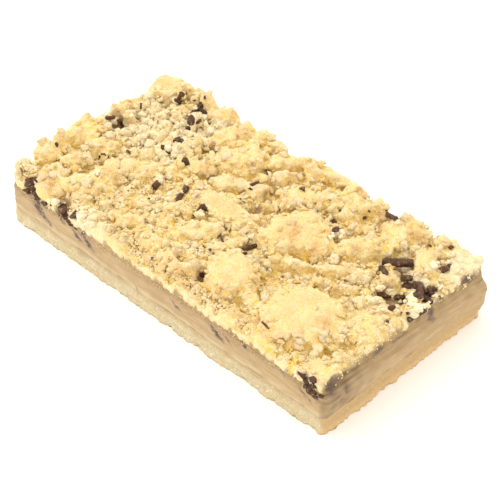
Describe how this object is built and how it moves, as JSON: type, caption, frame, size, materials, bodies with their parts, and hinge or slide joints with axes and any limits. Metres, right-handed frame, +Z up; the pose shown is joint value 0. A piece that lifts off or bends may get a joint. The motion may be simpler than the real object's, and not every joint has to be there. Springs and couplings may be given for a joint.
{
  "type": "crumble slice",
  "caption": "Rectangular tray-bake slice: a pale biscuit base, a smooth tan filling and a thick, lumpy crumble top with dark chocolate bits.",
  "frame": {"origin": "under the middle of the slice, on the surface it lies on", "axes": "+X along the slice, +Y across it, +Z up; the two cut faces of the picture are the -Y side and the +X end"},
  "size_m": [0.1276, 0.066, 0.0241],
  "materials": {
    "base": "pale baked biscuit, dry and finely crumbly",
    "filling": "smooth set filling, cut clean, faintly moist",
    "crumble": "dry buttery crumble, lightly browned on its lumps",
    "chocolate": "dark chocolate bits, satin"
  },
  "bodies": {
    "root": {"base": "base", "filling": "filling", "crumble": "crumble"}
  },
  "joints": []
}
